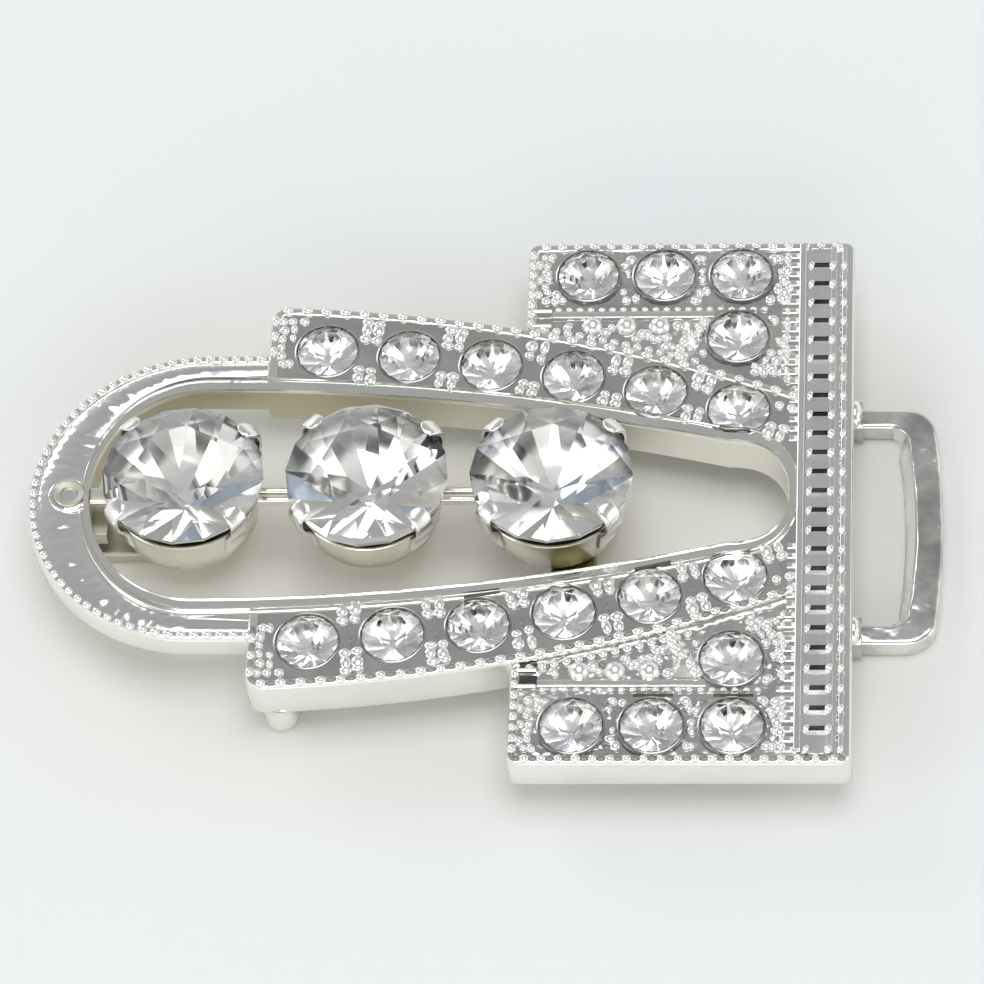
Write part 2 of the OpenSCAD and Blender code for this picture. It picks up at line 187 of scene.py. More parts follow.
# Stone places as (x, y) on the +Y side; the -Y side mirrors them
ARM_STONES = [(x, arm_stone_y(x)) for x in [ARM_STONE_X0 + i * ARM_STONE_PITCH for i in range(6)]]
ROW_STONES = [(ROW_STONE_X0 + i * ROW_STONE_PITCH, ROW_Y) for i in range(3)]
WING_STONES = ROW_STONES + [(INNER_X, INNER_Y)]


# Lines, which are open, and outlines, which are closed, are lists of (x, y); t is how far the opening is grown, in
# widths of the rail.


def mirrored(points):
    return [(x, -y) for x, y in reversed(points)]


def circle(x, y, r, count=40):
    turns = spread(0, 2 * pi, count + 1)[:-1]
    return [(x + r * cos(a), y + r * sin(a)) for a in turns]


def arc(x, y, rx, ry, start, stop, count):
    """Points of an oval about (x, y), between two angles in degrees."""
    turns = [radians(a) for a in spread(start, stop, count)]
    return [(x + rx * cos(a), y + ry * sin(a)) for a in turns]


def rectangle(x0, y0, x1, y1):
    return [(x0, y0), (x1, y0), (x1, y1), (x0, y1)]


def stone_holes(places, r=HOLE_R):
    return [circle(x, side * y, r) for x, y in places for side in (-1, 1)]


def opening_line(x0, x1, t, count=24):
    """The opening's edge between x0 and x1 on the -Y side, left to right."""
    return [(x, -opening_half(x) - t * RAIL_SIDE_W) for x in spread(x0, x1, count)]


def opening_end(t, start, stop):
    """The opening's round end, between two angles."""
    return arc(RING_X, 0, OPENING_END_L + t * RAIL_END_W, OPENING_HALF_W + t * RAIL_SIDE_W, start, stop, 49)


def nose_line(t):
    """The opening's nose, from the -Y side to the +Y side."""
    nose_l = NOSE_L + t * RAIL_END_W
    half = opening_half(NOSE_X) + t * RAIL_SIDE_W
    power = 2 / NOSE_POWER
    turns = arc(0, 0, 1, 1, -90, 90, 33)
    return [(NOSE_X + nose_l * signed_power(c, power), half * signed_power(s, power)) for c, s in turns]


def opening_outline(t):
    near = opening_line(RING_X, NOSE_X, t, 33)[1:-1]
    return opening_end(t, 90, 270) + near + nose_line(t) + mirrored(near)


def round_nose_line(x0, t=0.0):
    """The opening's edge from (x0, -) round its nose to (x0, +)."""
    near = opening_line(x0, NOSE_X, t)[:-1]
    return near + nose_line(t) + mirrored(near)


def round_end_line(x1):
    """The opening's edge from (x1, -) round its round end to (x1, +)."""
    near = [(x1, -opening_half(x1))]
    return near + opening_end(0, 270, 90) + mirrored(near)


def ring_line(inset, x1):
    """The round end's outer edge from (x1, +) round to (x1, -)."""
    r = RING_R - inset
    far = [(x1, r), ((x1 + RING_X) / 2, r)]
    return far + arc(RING_X, 0, r, r, 90, 270, 61) + mirrored(far)


def arm_outer_line(inset, x1):
    """The -Y arm's outer edge from its rounded corner to x1."""
    r = ARM_CORNER_R - inset
    x0 = ARM_X0 + inset + r
    corner = arc(x0, inset - arm_half(x0) + r, r, r, 180, 270, 9)
    return corner + [(x, inset - arm_half(x)) for x in spread(x0, x1, 40)[1:]]


def arm_rim_line(inset):
    """The -Y arm's outer edge with its stepped end."""
    return [(ARM_X0 + inset, -RING_R + 0.6)] + arm_outer_line(inset, LADDER_X0)


def arms_outline(inset, x1, x0, t=0.0):
    """Both arms as far as x1, and the land round the opening's nose, which is cut out from x0."""
    outer = arm_outer_line(inset, x1)
    return outer + mirrored(outer) + list(reversed(round_nose_line(x0, t)))


def block_outline(inset, notch=()):
    """The block's edge; notch is a line that comes in from its left side and leaves by it."""
    r = max(BLOCK_CORNER_R - inset, 0.05)
    x0, x1, y1 = BLOCK_X0 + inset + r, BLOCK_X1 - inset - r, BLOCK_HALF_W - inset - r
    corners = ((x0, -y1, 180), (x1, -y1, 270), (x1, y1, 0), (x0, y1, 90))
    return [p for x, y, start in corners for p in arc(x, y, r, r, start, start + 90, 7)] + list(notch)


def rounded_bar(w, h, r):
    """A closed profile: a w by h rectangle about (0, 0) with corners of radius r."""
    corners = ((1, -1, -90), (1, 1, 0), (-1, 1, 90), (-1, -1, 180))
    return [p for a, b, start in corners for p in arc(a * (w / 2 - r), b * (h / 2 - r), r, r, start, start + 90, 5)]


def braced(line, gap):
    """line with a point set in at gap from both ends of every long stretch, which keeps it flat when shaded."""
    result = []
    for a, b in zip(line, line[1:]):
        result.append(a)
        length = dist(a, b)
        if length > 3 * gap:
            result += [between(a, b, f) for f in (gap / length, 1 - gap / length)]
    return result + [line[-1]]


def along(line, pitch):
    """Points at an even pitch along a line, as (x, y, direction)."""
    steps = [dist(a, b) for a, b in zip(line, line[1:])]
    length = sum(steps)
    count = round(length / pitch)
    result = []
    i, passed = 0, 0.0
    for k in range(count):
        at = (k + 0.5) * length / count
        while i < len(steps) - 1 and passed + steps[i] < at:
            passed += steps[i]
            i += 1
        a, b = line[i], line[i + 1]
        result.append((*between(a, b, (at - passed) / steps[i]), atan2(b[1] - a[1], b[0] - a[0])))
    return result


# Meshes; a function that makes a shape returns a bmesh in millimetres


def to_mesh(bm, name):
    """A mesh in metres, its normals outward, smooth but for its sharp edges."""
    bmesh.ops.remove_doubles(bm, verts=bm.verts, dist=MERGE_GAP)
    bmesh.ops.recalc_face_normals(bm, faces=bm.faces)
    bmesh.ops.scale(bm, vec=(MM, MM, MM), verts=bm.verts)
    for face in bm.faces:
        face.smooth = True
    for edge in bm.edges:
        edge.smooth = edge.calc_face_angle(pi) < SMOOTH_ANGLE
    mesh = bpy.data.meshes.new(name)
    bm.to_mesh(mesh)
    bm.free()
    return mesh


def placed(name, data):
    """A new object in the scene."""
    made = bpy.data.objects.new(name, data)
    scene.collection.objects.link(made)
    return made


def finished(name, shape, material):
    """Puts a shape, or a mesh that is ready, in the scene as one piece of the clasp."""
    mesh = shape if isinstance(shape, bpy.types.Mesh) else to_mesh(shape, name)
    piece = placed(name, mesh)
    mesh.materials.clear()
    mesh.materials.append(material)
    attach(piece, "root")
    return piece


def joined(parts):
    """One bmesh of several, which are used up."""
    whole = bmesh.new()
    for part in parts:
        mesh = bpy.data.meshes.new("part")
        part.to_mesh(mesh)
        part.free()
        whole.from_mesh(mesh)
        bpy.data.meshes.remove(mesh)
    return whole


def both_sides(bm):
    """bm and its mirror image across the long middle plane."""
    twin = bm.copy()
    bmesh.ops.scale(twin, vec=(1, -1, 1), verts=twin.verts)
    bmesh.ops.reverse_faces(twin, faces=twin.faces)
    return joined([bm, twin])


def slab(outlines, z0, z1, edge=EDGE_R, steps=3):
    """A plate cut to the outlines, holes included, with every edge rounded."""
    curve = bpy.data.curves.new("slab", "CURVE")
    curve.dimensions = "2D"
    curve.fill_mode = "BOTH"
    curve.extrude = (z1 - z0) / 2 - edge
    curve.bevel_depth = edge
    curve.bevel_resolution = steps - 1
    curve.offset = -edge
    for outline in outlines:
        spline = curve.splines.new("POLY")
        spline.points.add(len(outline) - 1)
        for point, (x, y) in zip(spline.points, outline):
            point.co = (x, y, 0, 1)
        spline.use_cyclic_u = True
    maker = placed("slab", curve)
    mesh = bpy.data.meshes.new_from_object(maker)
    bpy.data.objects.remove(maker)
    bpy.data.curves.remove(curve)
    bm = bmesh.new()
    bm.from_mesh(mesh)
    bpy.data.meshes.remove(mesh)
    bmesh.ops.remove_doubles(bm, verts=bm.verts, dist=MERGE_GAP)
    bmesh.ops.translate(bm, vec=(0, 0, (z0 + z1) / 2), verts=bm.verts)
    return bm


def thin_slab(outlines, z0, z1):
    """A plate with next to sharp edges."""
    return slab(outlines, z0, z1, 0.01, 1)


def lofted(rings, looped=False):
    """A skin over rings of points, or poles of one point; the last meets the first if looped, or else ends close."""
    bm = bmesh.new()
    rings = [[bm.verts.new(point) for point in ring] for ring in rings]
    for one, two in zip(rings, rings[1:] + (rings[:1] if looped else [])):
        count = max(len(one), len(two))
        for k in range(count):
            n = (k + 1) % count
            corners = (one[k % len(one)], one[n % len(one)], two[n % len(two)], two[k % len(two)])
            bm.faces.new(list(dict.fromkeys(corners)))
    for ring in (rings[0], rings[-1]):
        if not looped and len(ring) > 1:
            bm.faces.new(ring)
    bmesh.ops.recalc_face_normals(bm, faces=bm.faces)
    return bm


def sweep(path, profile, side=(0, 0, 1)):
    """Draws a closed profile [(a, b)], or a function of the way along, on a path; b runs along side, a across it."""
    path = [Vector(p) for p in path]
    side = Vector(side).normalized()
    rings = []
    for i, here in enumerate(path):
        near = path[max(i - 1, 0) : i + 2]
        ways = [(two - one).normalized() for one, two in zip(near, near[1:])]
        forward = sum(ways, Vector()).normalized()
        out = forward.cross(side).normalized()
        stretch = 1 / max(0.5, forward.dot(ways[0]))
        shape = profile(i / (len(path) - 1)) if callable(profile) else profile
        rings.append([here + out * a * stretch + side * b for a, b in shape])
    return lofted(rings)


def flat_sweep(line, profile, z=0.0):
    """Draws a profile along a line of (x, y) at height z."""
    return sweep([(x, y, z) for x, y in line], profile)


def straight_bar(x0, y0, x1, y1, z, w, h, r):
    """A rounded bar from one point to another, centred at height z."""
    return flat_sweep([(x0, y0), (x1, y1)], rounded_bar(w, h, r), z)


def spun(profile, x, y, turns=40, looped=False):
    """A round body from a profile [(r, z)], which is looped or else starts and ends on the axis."""
    rings = [[(*p, z) for p in circle(x, y, r, turns)] if r else [(x, y, z)] for r, z in profile]
    return lofted(rings, looped)


# Nodes


def plug(tree, node, **sockets):
    """Sets or links a node's sockets, each named with _ for a space, or with i and its place."""
    for key, value in sockets.items():
        socket = node.inputs[int(key[1:]) if key[1:].isdigit() else key.replace("_", " ")]
        if isinstance(value, Value):
            value = value.socket
        if isinstance(value, bpy.types.NodeSocket):
            tree.links.new(value, socket)
        elif socket.type == "RGBA":
            socket.default_value = (*value, 1)
        else:
            socket.default_value = value


def add_node(tree, kind, settings=None, stops=(), **sockets):
    """A node with its settings and its ramp's stops, then the values or links of its sockets."""
    node = tree.nodes.new(kind)
    for key, value in (settings or {}).items():
        setattr(node, key, value)
    if stops:
        elements = node.color_ramp.elements
        while len(elements) < len(stops):
            elements.new(0.5)
        for element, (place, colour) in zip(elements, stops):
            element.position = place
            element.color = (*colour, 1)
    plug(tree, node, **sockets)
    return node


def bead_tree():
    """Sets a half-sunk rounded bead on every point; the points hold its half sizes and its turn."""
    tree = bpy.data.node_groups.new("beads", "GeometryNodeTree")
    inputs = {"Geometry": "Geometry", "Sides": "Int", "Rings": "Int", "Unit": "Float", "Finish": "Material"}
    for name, kind in inputs.items():
        tree.interface.new_socket(name, in_out="INPUT", socket_type="NodeSocket" + kind)
    tree.interface.new_socket("Geometry", in_out="OUTPUT", socket_type="NodeSocketGeometry")

    def made(kind, settings=None, **sockets):
        return add_node(tree, "GeometryNode" + kind, settings, **sockets).outputs[0]

    given = tree.nodes.new("NodeGroupInput").outputs
    ball = made("MeshUVSphere", Segments=given["Sides"], Rings=given["Rings"], Radius=given["Unit"])
    size = made("InputNamedAttribute", {"data_type": "FLOAT_VECTOR"}, Name="size")
    turn = made("InputNamedAttribute", {"data_type": "FLOAT"}, Name="turn")
    turn = add_node(tree, "ShaderNodeCombineXYZ", Z=turn).outputs[0]
    beads = made("InstanceOnPoints", Points=given["Geometry"], Instance=ball, Rotation=turn, Scale=size)
    real = made("RealizeInstances", Geometry=beads)
    smooth = made("SetShadeSmooth", Geometry=real)
    dressed = made("SetMaterial", Geometry=smooth, Material=given["Finish"])
    plug(tree, tree.nodes.new("NodeGroupOutput"), Geometry=dressed)
    return tree


class Beads:
    """Collects beads, each (x, y, z, half sizes, turn), and makes them one piece by Geometry Nodes."""

    def __init__(self):
        self.rows = []

    def add(self, x, y, z, size, turn):
        self.rows.append((x, y, z, size, turn))

    def both(self, x, y, z, size, turn=0.0):
        self.add(x, y, z, size, turn)
        self.add(x, -y, z, size, -turn)

    def finish(self, name, material, sides=10, rings=6):
        mesh = bpy.data.meshes.new(name)
        mesh.from_pydata([(x * MM, y * MM, z * MM) for x, y, z, _, _ in self.rows], [], [])
        size = mesh.attributes.new("size", "FLOAT_VECTOR", "POINT")
        size.data.foreach_set("vector", [v for row in self.rows for v in row[3]])
        turn = mesh.attributes.new("turn", "FLOAT", "POINT")
        turn.data.foreach_set("value", [row[4] for row in self.rows])
        maker = placed(name, mesh)
        modifier = maker.modifiers.new("beads", "NODES")
        modifier.node_group = BEAD_TREE
        values = {"Sides": sides, "Rings": rings, "Unit": MM, "Finish": material}
        for item in BEAD_TREE.interface.items_tree:
            if item.in_out == "INPUT" and item.name in values:
                modifier[item.identifier] = values[item.name]
        bpy.context.view_layer.update()
        seen = maker.evaluated_get(bpy.context.evaluated_depsgraph_get())
        result = bpy.data.meshes.new_from_object(seen)
        bpy.data.objects.remove(maker)
        bpy.data.meshes.remove(mesh)
        for attribute in ("size", "turn"):
            if attribute in result.attributes:
                result.attributes.remove(result.attributes[attribute])
        finished(name, result, material)


class Maths:
    """Makes the shader nodes of one material, or of the world."""

    def __init__(self, owner):
        self.tree = owner.node_tree

    def node(self, kind, settings=None, stops=(), **sockets):
        return add_node(self.tree, "ShaderNode" + kind, settings, stops, **sockets)

    def place(self):
        """The point on the piece, in millimetres."""
        coordinates = self.node("TexCoord").outputs["Object"]
        return self.node("VectorMath", {"operation": "SCALE"}, Vector=coordinates, Scale=1 / MM).outputs[0]

    def axis(self, name, of=None):
        return Value(self, self.node("SeparateXYZ", Vector=of or self.place()).outputs[name])

    def noise(self, scale, detail):
        return Value(self, self.node("TexNoise", Vector=self.place(), Scale=scale, Detail=detail).outputs[0])

    def mix(self, factor, one, two):
        return self.node("Mix", {"data_type": "RGBA"}, i0=factor, i6=one, i7=two).outputs[2]

    def bump(self, height, depth, invert=False, **under):
        """A normal bent by height, depth in mm, over the one under it."""
        bent = self.node("Bump", {"invert": invert}, Height=height, Strength=1.0, Distance=depth * MM, **under)
        return bent.outputs[0]


class Value:
    """One number of a shader; an expression on it adds Math nodes."""

    def __init__(self, maths, socket):
        self.maths = maths
        self.socket = socket

    def _make(self, operation, one, two, clamp=False):
        node = self.maths.node("Math", {"operation": operation, "use_clamp": clamp}, i0=one, i1=two)
        return Value(self.maths, node.outputs[0])

    def __add__(self, other):
        return self._make("ADD", self, other)

    __radd__ = __add__

    def __sub__(self, other):
        return self._make("SUBTRACT", self, other)

    def __rsub__(self, other):
        return self._make("SUBTRACT", other, self)

    def __mul__(self, other):
        return self._make("MULTIPLY", self, other)

    __rmul__ = __mul__

    def __lt__(self, other):
        return self._make("LESS_THAN", self, other)

    def clipped(self):
        return self._make("ADD", self, 0.0, clamp=True)


# Materials; colours are (red, green, blue)


def new_material(name):
    material = bpy.data.materials.new(name)
    material.use_nodes = True
    return material, Maths(material), material.node_tree.nodes["Principled BSDF"]


def plating(name, colour, other, wave=0.04, rough=0.09, pebble=0.0, lump=1.3, across=None):
    """Polished plating over a casting, with slow waves, strong in some places and weak in others, and fine grain.

    wave is the depth of the waves in mm, lump their number in a millimetre, and pebble the depth in mm of a cast
    skin of small round lumps. The first colour gives way to the other in clouds, or between the places across."""
    material, maths, shader = new_material(name)
    cloud = (maths.noise(0.5, 3.0) * 3.0 - 1.0).clipped()
    if across:
        cloud = ((maths.axis("X") - across[0]) * (1 / (across[1] - across[0]))).clipped()
    waves = maths.noise(lump, 2.0)
    where = maths.noise(0.28, 1.0)
    grain = maths.noise(6.0, 1.0)
    tone = maths.mix(cloud, colour, other)
    normal = maths.bump(waves * ((where - 0.35) * 3.0).clipped(), wave)
    normal = maths.bump(grain, 0.001, Normal=normal)
    if pebble:
        settings = {"feature": "SMOOTH_F1"}
        lumps = maths.node("TexVoronoi", settings, Vector=maths.place(), Scale=2.4, Smoothness=0.6)
        normal = maths.bump(lumps.outputs["Distance"], pebble, True, Normal=normal)
    plug(maths.tree, shader, Base_Color=tone, Metallic=1.0, Roughness=cloud * 0.1 + rough, Normal=normal)
    return material


def foiled_crystal(name, girdle_z, dull_from=0.02, warm=1.0):
    """Clear cut glass whose back, below girdle_z (in mm), is a silver foil.

    Each facet of the foil has a dullness of its own and a painted colour, one of several, that stands in for the
    coloured, bright and grey reflections of cut glass. Those that face the near side are painted bright, a painted
    highlight."""
    # Painted reflections: each facet of the foil takes one of these colours at random
    bright = (0.99, 0.99, 0.98)
    stops = [
        (0.0, (0.76, 0.76, 0.75)),
        (0.2, bright),
        (0.5, (0.92 - 0.22 * warm, 0.925 - 0.125 * warm, 0.95)),
        (0.66, bright),
        (0.82, (0.9, 0.88, 0.88 - 0.1 * warm)),
        (0.92, bright),
    ]
    material, maths, shader = new_material(name)
    glass = (1.0, 1.0, 1.0 - 0.005 * warm)
    plug(maths.tree, shader, Base_Color=glass, Roughness=0.0, IOR=1.36, Transmission_Weight=1.0)
    facing = maths.node("NewGeometry").outputs["True Normal"]
    keyed = maths.node("VectorMath", {"operation": "SNAP"}, i0=facing, i1=(0.04, 0.04, 0.04))
    speck = maths.node("TexWhiteNoise", {"noise_dimensions": "3D"}, Vector=keyed.outputs[0])
    painted_facet_reflections = maths.node("ValToRGB", stops=stops, Fac=speck.outputs["Value"])
    painted_facet_reflections.color_ramp.interpolation = "CONSTANT"
    # Painted highlight: facets that face the near side are painted bright
    painted_foil_light = maths.mix(maths.axis("Y", facing) < 0.0, painted_facet_reflections.outputs[0], bright)
    dull = Value(maths, speck.outputs["Value"]) * 0.22 + dull_from
    foil = maths.node("BsdfPrincipled", Base_Color=painted_foil_light, Metallic=1.0, Roughness=dull)
    behind = maths.axis("Z") < girdle_z
    both = maths.node("MixShader", i0=behind, i1=shader.outputs[0], i2=foil.outputs[0])
    plug(maths.tree, maths.tree.nodes["Material Output"], Surface=both.outputs[0])
    return material


PLATING = plating("bright_plating", (0.94, 0.94, 0.9), (0.9, 0.9, 0.85))
# Painted reflection: dark grey clouds on the loop stand in for the mottled reflections of its hammered metal
LOOP_REFLECTION_PAINT = plating("loop_plating_painted_reflections", (0.5, 0.5, 0.49), (0.88, 0.88, 0.84), wave=0.3, lump=0.8)
CELL_PLATING = plating("cell_plating", (0.9, 0.91, 0.9), (0.98, 0.98, 0.97), wave=0.01)
BEAD_PLATING = plating("bead_plating", (0.92, 0.92, 0.91), (0.86, 0.86, 0.83), wave=0.01, rough=0.24)
# Painted light and shade: the round end's band is light at its tip and darker towards the arms
RING_SHADE_PAINT = plating("ring_painted_light_and_shade", (0.99, 0.99, 0.98), (0.78, 0.79, 0.77), across=(-19.5, -12.5))
# Painted shade: the arms' floor between the stones is darker than the casting
ARM_FLOOR_SHADE_PAINT = plating("arm_floor_painted_shade", (0.62, 0.62, 0.6), (0.7, 0.7, 0.67), wave=0.03)
# Painted shade: the block's pebbled floor is darker than the casting; its clouds are random tone
WING_FLOOR_SHADE_PAINT = plating("wing_floor_painted_shade", (0.62, 0.62, 0.6), (0.78, 0.78, 0.75), wave=0.03, pebble=0.05)
# Painted shade: dark grey for the dents between and among the beads
DENT_SHADE_PAINT = plating("painted_dent_shade", (0.3, 0.3, 0.28), (0.38, 0.38, 0.35), wave=0.01, rough=0.45)
# Painted shade: dark grey for the collars, the shaded gap round every small stone
COLLAR_SHADE_PAINT = plating("painted_collar_shade", (0.34, 0.34, 0.32), (0.48, 0.48, 0.45), wave=0.01, rough=0.15)
# Painted shade: near-black sheets in the ladder's slots and the block's two recesses
SLOT_SHADE_PAINT = plating("painted_slot_shade", (0.03, 0.03, 0.028), (0.1, 0.1, 0.095), rough=0.35)
# Painted shade: a dark brass tone for the cross bar, which lies in shadow under the third cup
SHADED_BRASS_PAINT = plating("brass_with_painted_shade", (0.26, 0.23, 0.11), (0.16, 0.14, 0.07), rough=0.3)
# Painted reflection: the silver cups are tinted beige for the shaded floor that they mirror
CUP_REFLECTION_PAINT = plating("cup_silver_painted_warm_reflection", (0.9, 0.88, 0.81), (0.8, 0.78, 0.69), wave=0.06, rough=0.2)
PRONG_PLATING = plating("prong_plating", (0.9, 0.9, 0.87), (0.84, 0.84, 0.8), wave=0.03, rough=0.2)
# Painted shade: near-black for the insides of the cups, the hollows behind near stones and the rivet's hole
DARK_HOLLOW_SHADE_PAINT = plating("painted_hollow_shade", (0.09, 0.085, 0.06), (0.18, 0.17, 0.12), rough=0.4)
# Painted reflection and shade: the opening's wall is olive and dark towards the round end and light towards the
# nose, for the shaded floor it mirrors
WALL_REFLECTION_PAINT = plating("wall_painted_reflection_and_shade", (0.58, 0.54, 0.4), (0.96, 0.95, 0.89), wave=0.03, rough=0.3, across=(-8, 7))
# Painted shade: a dim olive for the hook, which lies in shadow under the round end
HOOK_SHADE_PAINT = plating("hook_painted_shade", (0.64, 0.62, 0.52), (0.56, 0.54, 0.44), rough=0.4)
BEAD_TREE = bead_tree()
rng = random.Random(SEED)


# The casting


def arm_slab():
    """The two arms and the land round the nose, with the stones' holes."""
    outline = arms_outline(0, LADDER_X0 + 0.15, ARM_X0)
    return slab([outline] + stone_holes(ARM_STONES), PLATE_Z0 - 0.01, BAND_Z)


def block_slab():
    """The block's body outside the arms, with the seats of its stones cut through."""
    near = [(x, 0.3 - arm_half(x)) for x in spread(BLOCK_X0, LADDER_X0 + 0.2, 20)]
    notch = [(x, -y) for x, y in near] + list(reversed(near))
    return slab([block_outline(0, notch)] + stone_holes(WING_STONES), PLATE_Z0, WING_Z)


def ring_slab():
    x1 = ARM_X0 + 0.3
    return slab([ring_line(0, x1) + round_end_line(x1)], RING_Z0, CHANNEL_Z)


def under_plate():
    """Closes the stones' holes from below."""
    outline = arms_outline(0.25, LADDER_X0 + 1, ARM_X0 + 0.25, 0.3)
    arms = slab([outline], PLATE_Z0 + 0.01, PLATE_Z0 + 0.35, 0.05, 1)
    wing = [(BLOCK_X0 + 0.2, 8.4), (LADDER_X0 + 1, 5.5), (LADDER_X0 + 1, 13.8), (BLOCK_X0 + 0.2, 13.8)]
    return joined([arms, both_sides(slab([wing], PLATE_Z0 + 0.02, PLATE_Z0 + 0.36, 0.05, 1))])


def rail():
    """The smooth rail round the opening: a thin crest at its edge, a flat, a groove and a second crest."""
    section = [(0, 2.6), (0, 3.5), (0.01, 3.7), (0.04, 3.75), (0.08, 3.75), (0.12, 3.67), (0.54, 3.685), (0.6, 3.57),
               (0.72, 3.54), (0.78, 3.66), (0.82, 3.71), (0.87, 3.71), (0.92, 3.66), (1.0, 3.6), (1.0, 2.6)]
    section = braced(section, 0.015)
    edges = zip(opening_outline(0), opening_outline(1))
    return lofted([[(*between(a, b, f), z) for f, z in section] for a, b in edges], looped=True)


def rim_profile(low, top):
    w, side, bend = RIM_W / 2, top - 0.12, top - 0.03
    return [(-w, low), (w, low), (w, side), (w - 0.07, bend), (0, top), (0.07 - w, bend), (-w, side)]


def rims():
    """Low rounded rims that carry the beads: round end, arms and block."""
    mid = RIM_W / 2 + 0.02
    side_y = arm_half(BLOCK_X0) - 0.2
    block = [(BLOCK_X0 + mid, -side_y)] + block_outline(mid) + [(BLOCK_X0 + mid, side_y)]
    return joined([
        flat_sweep(ring_line(mid, ARM_X0 + 0.3), rim_profile(3.2, 3.58)),
        both_sides(flat_sweep(arm_rim_line(mid), rim_profile(3.3, ARM_RIM_Z))),
        flat_sweep(block, rim_profile(3.0, BLOCK_RIM_Z)),
    ])


def bar_places():
    """Where the short bars stand on the +Y side: two to a rung."""
    return [y for y in (2.9 + k * RUNG_PITCH / 2 for k in range(21)) if y < BLOCK_HALF_W - RIM_W - 0.2]


def bar_length(y):
    """Shorter near the arms and beside a stone."""
    stone = min(hypot(LADDER_X0 - 0.7 - x, y - sy) for x, sy in WING_STONES + ARM_STONES)
    return 0.4 if y < 6.4 or stone < 1.95 else 0.8


def bar_floor(y):
    """The floor's height beside the ladder: the arms' band, then the block's floor."""
    return WING_Z if y > BAND_END_Y else BAND_Z


def small_bars():
    """Short bars between the stones and the ladder band."""
    parts = []
    for y in bar_places():
        z = bar_floor(y) - 0.12
        parts.append(straight_bar(LADDER_X0 - bar_length(y), y, LADDER_X0 + 0.1, y, z, 0.3, 0.34, 0.04))
    return both_sides(joined(parts))


def wing_relief():
    """The smooth rail outside the domes, the bars round the recesses and the small pyramid."""
    parts = [straight_bar(BLOCK_X0 + 1.2, LEDGE_Y, INNER_X - 1.1, LEDGE_Y, WING_Z - 0.04, 0.36, 0.4, 0.04)]
    for y in (8.7, 9.28, 10.1):
        parts.append(straight_bar(BLOCK_X0 + 0.3, y, BLOCK_X0 + 1.15, y, WING_Z + 0.08, 0.2, 0.36, 0.09))
    base = [(8.5, 9.7), (10.0, 9.7), (9.2, 7.6), (8.5, 7.4)]
    crown = [(8.95, 9.2), (9.35, 9.15), (9.0, 8.3)]
    bm = bmesh.new()
    verts = [bm.verts.new((x, y, WING_Z - 0.1)) for x, y in base]
    verts += [bm.verts.new((x, y, WING_Z + 0.4)) for x, y in crown]
    for face in ((0, 1, 2, 3), (4, 5, 6), (0, 1, 5, 4), (1, 2, 6, 5), (2, 3, 6), (3, 0, 4, 6)):
        bm.faces.new([verts[k] for k in face])
    bmesh.ops.recalc_face_normals(bm, faces=bm.faces)
    return both_sides(joined(parts + [bm]))


def eyelet():
    """The low eyelet on the round end, round the rivet's tube."""
    r = EYELET_R
    ring = [(0.72, 2.6), (0.72, 3.66), (0.76, 3.7), (r - 0.04, 3.68), (r + 0.02, 3.6), (r + 0.04, 2.6)]
    return spun(braced(ring, 0.03), EYELET_X, 0, looped=True)


def feet():
    knob = [(0, 0), (0.42, 0.02), (0.64, 0.12), (0.77, 0.36), (0.8, 0.65), (0.78, 0.95), (0.72, 1.3), (0.7, 1.5),
            (0.76, 1.75), (0, 1.75)]
    return both_sides(spun(knob, FOOT_X, FOOT_Y, 28))


def casting():
    return joined([
        arm_slab(), block_slab(), ring_slab(), under_plate(), rail(), rims(), small_bars(),
        wing_relief(), eyelet(), feet(),
    ])


# Finishes, painted shade and details on the casting


def collars():
    """The thin edge of the seat round every small stone, painted dark as the shade of the gap round it."""
    section = [(0.02, -0.25), (0.02, 0.03), (0.04, 0.05), (0.12, 0.04), (0.15, 0.01), (0.15, -0.25)]
    parts = []
    for places, z in ((ARM_STONES, BAND_Z), (WING_STONES, WING_Z + 0.15)):
        edge = [(SMALL_R + a, z + b) for a, b in section]
        parts += [both_sides(spun(edge, x, y, looped=True)) for x, y in places]
    return joined(parts)


def arm_floor():
    """The floor between the stones of the arms, painted darker than the casting as shade."""
    outline = arms_outline(RIM_W - 0.05, LADDER_X0, ARM_X0 + 0.4, 0.98)
    return thin_slab([outline] + stone_holes(ARM_STONES, HOLE_R + 0.02), BAND_Z - 0.1, BAND_Z + 0.02)


def wing_floor():
    """The pebbled floor of the block, between its stones, painted darker than the casting as shade."""
    line = [(x, arm_half(x) - 0.15) for x in spread(BLOCK_X0 + 0.3, LADDER_X0, 20)]
    edge = [(LADDER_X0, BLOCK_HALF_W - 0.4), (BLOCK_X0 + 0.4, BLOCK_HALF_W - 0.4)]
    holes = [circle(x, y, SMALL_R + 0.1) for x, y in WING_STONES]
    return both_sides(thin_slab([line + edge] + holes, WING_Z - 0.1, WING_Z + 0.02))


